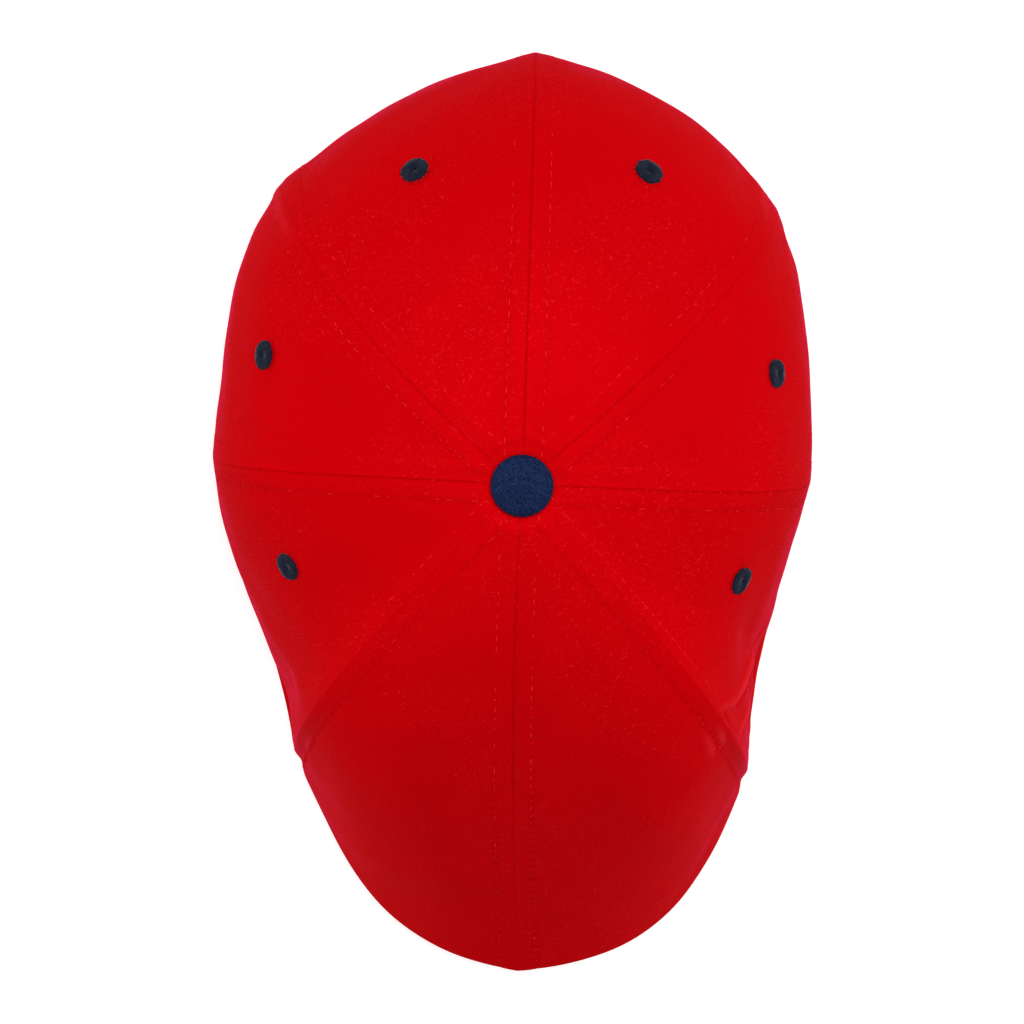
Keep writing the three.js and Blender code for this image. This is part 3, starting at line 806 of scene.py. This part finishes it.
class Nodes:
    """Short hands for building a material."""

    def __init__(self, name):
        self.material = bpy.data.materials.new(name)
        self.material.use_nodes = True
        self.tree = self.material.node_tree
        self.shader = self.tree.nodes["Principled BSDF"]

    def new(self, kind, **settings):
        node = self.tree.nodes.new(kind)
        for key, value in settings.items():
            setattr(node, key, value)
        return node

    def wire(self, value, socket):
        if isinstance(value, bpy.types.NodeSocket):
            self.tree.links.new(value, socket)
        else:
            socket.default_value = value

    def math(self, operation, a, b=0.0, c=0.0, clamp=False):
        node = self.new("ShaderNodeMath", operation=operation, use_clamp=clamp)
        for value, socket in zip((a, b, c), node.inputs):
            self.wire(value, socket)
        return node.outputs[0]

    def blend(self, share, a, b, mode="MIX"):
        node = self.new("ShaderNodeMix", data_type="RGBA", blend_type=mode)
        self.wire(share, node.inputs[0])
        self.wire(a, node.inputs[6])
        self.wire(b, node.inputs[7])
        return node.outputs[2]

    def noise(self, vector, scale, detail=2.0, rough=0.5):
        node = self.new("ShaderNodeTexNoise")
        self.wire(vector, node.inputs["Vector"])
        node.inputs["Scale"].default_value = scale
        node.inputs["Detail"].default_value = detail
        node.inputs["Roughness"].default_value = rough
        return node.outputs["Fac"]

    def place(self):
        return self.new("ShaderNodeTexCoord").outputs["Object"]

    def mark(self, name):
        return self.new("ShaderNodeAttribute", attribute_name=name).outputs["Fac"]

    def cloth_axes(self):
        """Distances in millimetres across and along the ribs."""
        parts = self.new("ShaderNodeSeparateXYZ")
        self.wire(self.new("ShaderNodeUVMap", uv_map="cloth").outputs[0], parts.inputs[0])
        return [self.math("MULTIPLY", parts.outputs[k], 1 / UV_SCALE) for k in (0, 1)]

    def bump(self, height, distance, strength=1.0):
        node = self.new("ShaderNodeBump")
        node.inputs["Strength"].default_value = strength
        node.inputs["Distance"].default_value = distance
        self.wire(height, node.inputs["Height"])
        self.wire(node.outputs[0], self.shader.inputs["Normal"])


def wave(nodes, distance, pitch, shift=0.0):
    """A wave from 0 to 1 of a pitch in millimetres."""
    turn = nodes.math("MULTIPLY_ADD", distance, 2 * np.pi / pitch, shift)
    return nodes.math("MULTIPLY_ADD", nodes.math("SINE", turn), 0.5, 0.5)


def fibres(nodes, place, scale, width, share):
    """Stray hairs of the cloth: short curly pieces of the lines where a noise passes its middle value."""
    wander = nodes.noise(place, scale, 1.5, 0.6)
    off_line = nodes.math("ABSOLUTE", nodes.math("SUBTRACT", wander, 0.5))
    line = nodes.math("SUBTRACT", 1.0, nodes.math("DIVIDE", off_line, width), clamp=True)
    patch = nodes.noise(place, scale * 1.9, 1.0, 0.5)
    some = nodes.math("MULTIPLY", nodes.math("SUBTRACT", patch, share), 14.0, clamp=True)
    wide = nodes.math("SUBTRACT", nodes.noise(place, 24.0, 1.0), 0.34)
    area = nodes.math("MULTIPLY", wide, 4.5, clamp=True)
    return nodes.math("MULTIPLY", nodes.math("MULTIPLY", line, some), area)


def scaled(nodes, colour, value):
    """A colour times a number that changes over the surface."""
    shade = nodes.new("ShaderNodeCombineColor")
    for socket in shade.inputs:
        nodes.wire(value, socket)
    return nodes.blend(1.0, (*colour, 1), shade.outputs[0], "MULTIPLY")


def twill(name, colour, crest_sheen_colour, pitch, gloss, sheen, tint, fleck, fleck_share, ribs, speckle, depth):
    """Ribbed cotton: ribs with a finer break along each one, fuzz, mottling and stray hairs, with painted
    highlights beside the seams, painted sheen on crease crests and painted shade in grooves, hollows,
    needle holes and round the button.
    """
    nodes = Nodes(name)
    u, v = nodes.cloth_axes()
    place = nodes.place()
    wander = nodes.math("MULTIPLY", nodes.noise(place, 260.0, 2.0), 1.6)
    rib = wave(nodes, u, pitch, wander)
    step = nodes.math("FLOOR", nodes.math("DIVIDE", u, pitch))
    lean = nodes.math("MULTIPLY_ADD", step, 2.1, wander)
    yarn = wave(nodes, v, pitch * 0.62, lean)
    weave = nodes.math("MULTIPLY", rib, nodes.math("MULTIPLY_ADD", yarn, 0.45, 0.55))
    fuzz = nodes.noise(place, 2600.0, 3.0, 0.6)
    mottle = nodes.noise(place, 85.0, 3.0, 0.55)
    grain = nodes.noise(place, 1300.0, 2.0, 0.7)
    broad = nodes.math("SUBTRACT", nodes.noise(place, 42.0, 1.0), 0.42)
    clear = nodes.math("MULTIPLY", broad, 5.0, clamp=True)
    painted_shade, painted_highlight = nodes.mark("painted_shade"), nodes.mark("painted_highlight")
    height = nodes.math("MULTIPLY_ADD", fuzz, 0.35, nodes.math("MULTIPLY", weave, 0.8))
    nodes.bump(height, depth, 0.6)
    clearness = nodes.math("MULTIPLY_ADD", clear, 0.7, 0.3)
    shown = nodes.math("MULTIPLY", nodes.math("SUBTRACT", weave, 0.35), clearness)
    value = nodes.math("MULTIPLY_ADD", shown, ribs, 1.0)
    for layer, size in ((mottle, 0.25), (grain, 1.5), (fuzz, 0.7)):
        change = nodes.math("MULTIPLY_ADD", layer, size * speckle, 1 - size / 2 * speckle)
        value = nodes.math("MULTIPLY", value, change)
    # Painted highlight beside the seams.
    value = nodes.math("MULTIPLY", value, nodes.math("MULTIPLY_ADD", painted_highlight, 0.07, 1.0))
    # Painted shade in grooves, hollows, needle holes and round the button.
    value = nodes.math("MULTIPLY", value, nodes.math("MULTIPLY_ADD", painted_shade, -0.62, 1.0))
    cloth = scaled(nodes, colour, value)
    # Painted sheen on the crests of the fine creases, in a pinker colour, patchy with the mottling.
    uneven = nodes.math("MULTIPLY_ADD", mottle, 1.6, -0.1)
    crest_sheen_share = nodes.math("MULTIPLY", nodes.mark("crest"), uneven, clamp=True)
    cloth = nodes.blend(crest_sheen_share, cloth, (*crest_sheen_colour, 1))
    long_hairs = fibres(nodes, place, 330.0, 0.011, fleck_share)
    short_hairs = fibres(nodes, place, 560.0, 0.02, fleck_share)
    hairs = nodes.math("MULTIPLY", nodes.math("MAXIMUM", long_hairs, short_hairs), 0.8)
    cloth = nodes.blend(hairs, cloth, (*fleck, 1))
    nodes.wire(cloth, nodes.shader.inputs["Base Color"])
    rough = nodes.math("MULTIPLY_ADD", grain, 0.1, 0.45)
    nodes.wire(rough, nodes.shader.inputs["Roughness"])
    nodes.shader.inputs["Specular IOR Level"].default_value = 0.0
    nodes.shader.inputs["Metallic"].default_value = gloss
    nodes.shader.inputs["Sheen Weight"].default_value = sheen
    nodes.shader.inputs["Sheen Roughness"].default_value = 0.14
    nodes.shader.inputs["Sheen Tint"].default_value = (*tint, 1)
    return nodes.material


def thread(name, colour, sunk, roughness, sheen, tint, gloss, marked=False):
    """Spun thread: fine strands that turn round it. Sunk stitches take the cloth's colour."""
    nodes = Nodes(name)
    place = nodes.place()
    strand = nodes.noise(place, 1900.0, 2.0, 0.6)
    u, v = nodes.cloth_axes()
    twist = wave(nodes, nodes.math("ADD", u, v), 0.55)
    value = nodes.math("MULTIPLY_ADD", strand, 0.4, 0.8)
    value = nodes.math("MULTIPLY", value, nodes.math("MULTIPLY_ADD", twist, 0.2, 0.9))
    patchy = nodes.math("SUBTRACT", nodes.noise(place, 170.0, 1.0), 0.47)
    high = nodes.mark("shows") if marked else nodes.math("MULTIPLY", patchy, 7.0, clamp=True)
    cloth = nodes.blend(high, scaled(nodes, sunk, value), scaled(nodes, colour, value))
    nodes.wire(cloth, nodes.shader.inputs["Base Color"])
    nodes.wire(nodes.math("MULTIPLY_ADD", strand, 0.15, roughness), nodes.shader.inputs["Roughness"])
    nodes.bump(nodes.math("ADD", strand, twist), 0.00005, 0.6)
    nodes.shader.inputs["Specular IOR Level"].default_value = gloss
    nodes.shader.inputs["Sheen Weight"].default_value = sheen
    nodes.shader.inputs["Sheen Roughness"].default_value = 0.4
    nodes.shader.inputs["Sheen Tint"].default_value = (*tint, 1)
    return nodes.material


RED = (0.72, 0.0004, 0.0035)
DARK_RED = (0.5, 0.0006, 0.0035)
# The pinker red of the painted sheen on the crests of creases.
CREST_SHEEN_RED = (0.95, 0.032, 0.055)
RED_SHEEN = (1.0, 0.06, 0.32)
RED_HAIR = (1.0, 0.02, 0.03)
RED_THREAD = (1.0, 0.022, 0.026)
NAVY = (0.0138, 0.0255, 0.083)
NAVY_SHEEN = (0.6, 0.7, 1.0)
NAVY_HAIR = (0.03, 0.06, 0.16)
BAND_NAVY = (0.012, 0.016, 0.05)
BAND_HAIR = (0.05, 0.07, 0.14)
NAVY_THREAD = (0.0065, 0.0135, 0.036)
SUNK_NAVY = (0.005, 0.0095, 0.025)

red_cloth = twill(
    "red_cloth", RED, crest_sheen_colour=CREST_SHEEN_RED, pitch=0.82, gloss=0.05, sheen=0.22, tint=RED_SHEEN,
    fleck=RED_HAIR, fleck_share=0.56, ribs=0.09, speckle=0.16, depth=0.00006,
)
under_cloth = twill(
    "under_cloth", DARK_RED, crest_sheen_colour=CREST_SHEEN_RED, pitch=0.82, gloss=0.03, sheen=0.15, tint=RED_SHEEN,
    fleck=RED_HAIR, fleck_share=0.62, ribs=0.16, speckle=0.1, depth=0.00008,
)
navy_cloth = twill(
    "navy_cloth", NAVY, crest_sheen_colour=NAVY, pitch=0.5, gloss=0.05, sheen=0.16, tint=NAVY_SHEEN,
    fleck=NAVY_HAIR, fleck_share=0.6, ribs=0.3, speckle=1.7, depth=0.0001,
)
band_cloth = twill(
    "band_cloth", BAND_NAVY, crest_sheen_colour=BAND_NAVY, pitch=0.7, gloss=0.03, sheen=0.15, tint=NAVY_SHEEN,
    fleck=BAND_HAIR, fleck_share=0.62, ribs=0.4, speckle=0.3, depth=0.0001,
)
red_thread = thread(
    "red_thread", RED_THREAD, sunk=RED, roughness=0.75, sheen=0.02, tint=RED_SHEEN, gloss=0.02, marked=True
)
navy_thread = thread(
    "navy_thread", NAVY_THREAD, sunk=SUNK_NAVY, roughness=0.5, sheen=0.1, tint=NAVY_SHEEN, gloss=0.2
)


# The pieces.


def add_button(material):
    """The covered button: a low dome with its cloth gathered in under it, on a shank with a flange."""
    steps = 144
    radius = BUTTON_DIAMETER / 2
    seat = CROWN_HEIGHT + PIECE_GAP
    turn = 2 * np.pi * np.arange(steps) / steps
    edge_round, edge_height = 1.5, 1.6
    low = [(BUTTON_HOLE - PIECE_GAP, seat), (radius * 0.6, seat + 0.05), (radius * 0.82, seat + 0.1)]
    arc = np.radians(np.linspace(-70, 0, 9))
    middle = seat + edge_height
    edge = [(radius + edge_round * (np.cos(a) - 1), middle + edge_round * np.sin(a)) for a in arc]
    dome = np.radians(np.linspace(0, 90, 34))[1:]
    over = [(radius * np.cos(a) ** 0.86, middle + (BUTTON_RISE - edge_height) * np.sin(a)) for a in dome]
    inside = CROWN_HEIGHT - CLOTH - PIECE_GAP
    flange, foot = BUTTON_FLANGE_DIAMETER / 2, inside - BUTTON_FLANGE
    shank = [
        (0, foot), (flange - 0.4, foot), (flange, foot + 0.3),
        (flange, inside - 0.3), (flange - 0.4, inside), (BUTTON_HOLE - PIECE_GAP, inside),
    ]
    profile = np.array(shank + low + edge + over)
    rng = np.random.default_rng(3)
    gather = waves(rng, (360 / 17, 360 / 26, 360 / 41), 0.05)(np.degrees(turn))
    r, z = profile[:, :1], profile[:, 1:]
    height = (z - seat) / BUTTON_RISE
    tuck = np.where(z > inside, smooth(1 - np.abs(height - 0.12) / 0.45), 0)
    r_all = r + gather[None] * tuck * (r > 3)
    points = np.stack([r_all * np.cos(turn), r_all * np.sin(turn), z + 0 * turn], -1)
    quads = grid_quads(len(profile), steps, wrap=True, flip=True)
    c, s = np.cos(np.radians(BUTTON_GRAIN)), np.sin(np.radians(BUTTON_GRAIN))
    uv = points[..., :2] @ np.array([[c, s], [-s, c]])
    mesh = new_mesh("covered_button", points.reshape(-1, 3), quads, uv=uv.reshape(-1, 2) * UV_SCALE)
    add_piece(mesh, material, ["top_button"])


def add_eyelet(eyelet, material, rng):
    """A sewn eyelet: satin stitches side by side from a slit to the rim, over the edge of the cloth."""
    steps = EYELET_THREADS * THREAD_STEPS
    seat = eyelet_seat(eyelet)
    neck = EYELET_NECK / 2
    back = -CLOTH - EYELET_SLACK
    turn = 2 * np.pi * np.arange(steps) / steps
    number = np.arange(steps) // THREAD_STEPS
    outer = EYELET_DIAMETER / 2 + rng.uniform(-0.28, 0.2, EYELET_THREADS)[number]
    plump = rng.uniform(0.7, 1.2, EYELET_THREADS)[number]
    ridge = np.abs(np.sin(np.pi * (np.arange(steps) + 0.5) / THREAD_STEPS)) * plump - 0.6
    slit_turn = turn - rng.uniform(0, np.pi)
    slit = 1 / np.hypot(np.cos(slit_turn) / SLIT_HALF_WIDTH, np.sin(slit_turn) / SLIT_HALF_LENGTH)
    rows = [(outer, -0.15)]
    for angle in np.radians(np.linspace(0, 180, 17))[1:-1]:
        share = 0.5 + 0.5 * np.cos(angle)
        rows.append((mix(slit, outer, share), 0.1 + EYELET_PLUMP * np.sin(angle) ** 0.75 + 0.2 * ridge))
    rows += [(slit, -0.5), (slit, back), (slit + 0.4, back - 0.6), (outer - 0.5, back - 0.6)]
    rows += [(outer, back - 0.2), (outer - 0.3, back + 0.1), (neck, back + 0.15), (neck, -0.2)]
    points = []
    for radius, height in rows:
        radius, height = radius + 0 * turn, height + 0 * turn
        slant = turn + 0.05 * smooth(radius / EYELET_DIAMETER * 2)
        across = seat["x"] * (radius * np.cos(slant))[:, None]
        across = across + seat["y"] * (radius * np.sin(slant))[:, None]
        points.append(seat["face"] + across + seat["square"] * height[:, None])
    turns, lengths = np.arange(steps) * 0.5 / THREAD_STEPS, np.arange(len(points)) * 0.4
    uv = np.stack(np.broadcast_arrays(turns[None, :], lengths[:, None]), -1)
    mesh = new_mesh(
        "sewn_eyelet_" + eyelet["panel"],
        np.array(points).reshape(-1, 3),
        ring_quads(len(points), steps),
        uv.reshape(-1, 2) * UV_SCALE,
    )
    add_piece(mesh, material, ["eyelet_" + eyelet["panel"]])


def add_peak(material):
    """The peak: a crescent with a rounded edge, between the head opening and the hem that wraps it."""
    left, right = panel_index("temple_left"), panel_index("temple_right")
    stations = []
    for index in range(left, right + 1):
        start = HORN_SHARE + 0.05 if index == left else 0.0
        end = 0.95 - HORN_SHARE if index == right else 1.0
        count = 61 if left < index < right else 31
        for share in np.linspace(start, end, count)[(1 if index > left else 0):]:
            stations.append((index, share))
    steps = np.concatenate([[0, 0.01, 0.03], np.linspace(0.06, 0.9, 24), [0.95, 0.98, 1.0]])
    top, bottom, flat = [], [], []
    for index, share in stations:
        at = np.array(share)
        edge = hem_line(index, at) - (CLOTH + PIECE_GAP) * hem_out(index, at)
        root = opening_point(opening_turn(index, at), CLOTH)
        plan = mix(root, edge, steps[:, None])
        width = np.linalg.norm(edge - root)
        inside = np.minimum(steps, 1 - steps) * width
        half = PEAK_THICKNESS / 2
        bulge = half * np.sqrt(np.clip(1 - np.clip(1 - inside / half, 0, 1) ** 2, 0, 1))
        bulge = np.maximum(bulge, 0.1)
        middle = peak_under(plan[:, 0], plan[:, 1]) + half
        top.append(raised(plan, middle + bulge))
        bottom.append(raised(plan, middle - bulge))
        flat.append(plan)
    top, bottom = np.array(top).transpose(1, 0, 2), np.array(bottom).transpose(1, 0, 2)
    plan = np.array(flat).transpose(1, 0, 2)
    rows, columns = top.shape[:2]
    count = rows * columns
    rim = rim_of(rows, columns)
    side = np.stack([rim, count + rim, count + np.roll(rim, -1), np.roll(rim, -1)], -1)
    quads = np.concatenate([grid_quads(rows, columns), grid_quads(rows, columns, count, flip=True), side])
    points = np.concatenate([top.reshape(-1, 3), bottom.reshape(-1, 3)])
    uv = np.concatenate([plan.reshape(-1, 2), plan.reshape(-1, 2)]) * UV_SCALE
    add_piece(new_mesh("peak_board_cloth", points, quads, uv=uv), material, ["peak"])


def add_band(material):
    """The sweatband: soft cloth with a folded top edge, just inside the opening."""
    steps = 300
    turn = 360 * np.arange(steps) / steps
    rng = np.random.default_rng(5)
    foot = opening_point(turn, CLOTH + PIECE_GAP)
    run = 2 * np.pi * 95 * np.arange(steps) / steps
    under = np.where(foot[:, 1] < OPENING_Y, peak_under(foot[:, 0], foot[:, 1]), 0)
    low = BAND_LIFT + under
    soft = waves(rng, (597 / 14, 597 / 23, 597 / 37), 0.12)(run)
    profile = [(0.25, 0.0), (0.0, 0.02)]
    profile += [(0.0, h) for h in np.linspace(0.05, 0.97, 16)]
    profile += [(0.3, 0.993), (0.75, 1.0), (1.2, 0.993)]
    inner, hemmed = BAND_THICKNESS, BAND_THICKNESS + 0.12
    profile += [(inner, h) for h in np.linspace(0.97, 0.8, 5)]
    profile += [(hemmed, 0.78), (hemmed, 0.75), (inner, 0.73)]
    profile += [(inner, h) for h in np.linspace(0.7, 0.05, 14)] + [(inner, 0.02), (1.25, 0.0)]
    toward = -np.stack([np.cos(np.radians(turn)), np.sin(np.radians(turn))], -1)
    points = []
    for inset, share in profile:
        depth = inset + (soft + 0.35) * smooth(inset) * np.sin(np.pi * share)
        points.append(raised(foot + toward * depth[:, None], mix(low, BAND_HEIGHT, share)))
    points = np.array(points)
    quads = ring_quads(len(points), steps, flip=True)
    uv = np.stack(np.broadcast_arrays(run[None], points[..., 2]), -1).reshape(-1, 2) * UV_SCALE
    mesh = new_mesh("sweatband_cloth", points.reshape(-1, 3), quads, uv)
    add_piece(mesh, material, ["sweatband"])


surfaces = [make_panel_surface(index) for index in range(len(PANELS))]
for surface in surfaces:
    add_panel(surface, red_cloth)
add_topstitching(surfaces, red_thread)
add_button(navy_cloth)
eyelet_rng = np.random.default_rng(11)
for eyelet in EYELETS:
    add_eyelet(eyelet, navy_thread, eyelet_rng)
add_peak(under_cloth)
add_band(band_cloth)


# The floor, the lights and the camera.

# The camera looks down on the button from a little behind it, turned slightly in the picture.
CAMERA_DISTANCE = 1.5
CAMERA_TILT = 8.0
CAMERA_ROLL = -0.8
LENS_MM = 184.57
SHIFT_X = -0.0098
SHIFT_Y = -0.0241
FLOOR_REACH = 3.0
FLOOR_GLOW = 0.82
FLOOR_WHITE = 0.45
WORLD_GLOW = 0.01
LIGHT_AIM = (0, 0, 0.06)


def add_floor():
    mesh = bpy.data.meshes.new("floor")
    corners = [(x * FLOOR_REACH, y * FLOOR_REACH, 0) for x, y in ((-1, -1), (1, -1), (1, 1), (-1, 1))]
    mesh.from_pydata(corners, [], [(0, 1, 2, 3)])
    floor = bpy.data.objects.new("floor", mesh)
    bpy.context.scene.collection.objects.link(floor)
    nodes = Nodes("pale_floor")
    nodes.shader.inputs["Emission Color"].default_value = (1, 1, 1, 1)
    nodes.shader.inputs["Emission Strength"].default_value = FLOOR_GLOW
    nodes.shader.inputs["Base Color"].default_value = (FLOOR_WHITE, FLOOR_WHITE, FLOOR_WHITE, 1)
    nodes.shader.inputs["Roughness"].default_value = 0.9
    mesh.materials.append(nodes.material)


def add_light(name, place, size, power):
    data = bpy.data.lights.new(name, "AREA")
    data.shape, data.size, data.energy = "DISK", size, power
    light = bpy.data.objects.new(name, data)
    bpy.context.scene.collection.objects.link(light)
    light.location = place
    light.rotation_euler = (Vector(LIGHT_AIM) - Vector(place)).to_track_quat("-Z", "Y").to_euler()


def add_camera():
    top = Vector((ORIGIN[0] * METRE, ORIGIN[1] * METRE, button_high.z))
    tilt, roll = np.radians(CAMERA_TILT), np.radians(CAMERA_ROLL)
    back = np.array([0, np.sin(tilt), np.cos(tilt)])
    right = unit(np.cross([0, 1.0, 0], back))
    up = np.cross(back, right)
    right, up = np.cos(roll) * right - np.sin(roll) * up, np.sin(roll) * right + np.cos(roll) * up
    data = bpy.data.cameras.new("camera")
    data.lens, data.sensor_width = LENS_MM, 36
    data.shift_x, data.shift_y = SHIFT_X, SHIFT_Y
    data.clip_end = 20
    camera = bpy.data.objects.new("camera", data)
    bpy.context.scene.collection.objects.link(camera)
    turn = Matrix([right, up, back]).transposed().to_4x4()
    camera.matrix_world = Matrix.Translation(top + Vector(back) * CAMERA_DISTANCE) @ turn
    bpy.context.scene.camera = camera


add_floor()
add_camera()
add_light("key", (0.09, 0.35, 1.5), 0.7, 18.0)
add_light("left", (-1.1, -0.1, 0.14), 0.5, 2.7)
add_light("right", (1.1, -0.1, 0.14), 0.5, 2.1)
world = bpy.data.worlds.new("studio")
world.use_nodes = True
world.node_tree.nodes["Background"].inputs[0].default_value = (1, 1, 1, 1)
world.node_tree.nodes["Background"].inputs[1].default_value = WORLD_GLOW
bpy.context.scene.world = world
bpy.context.scene.view_settings.view_transform = "Standard"
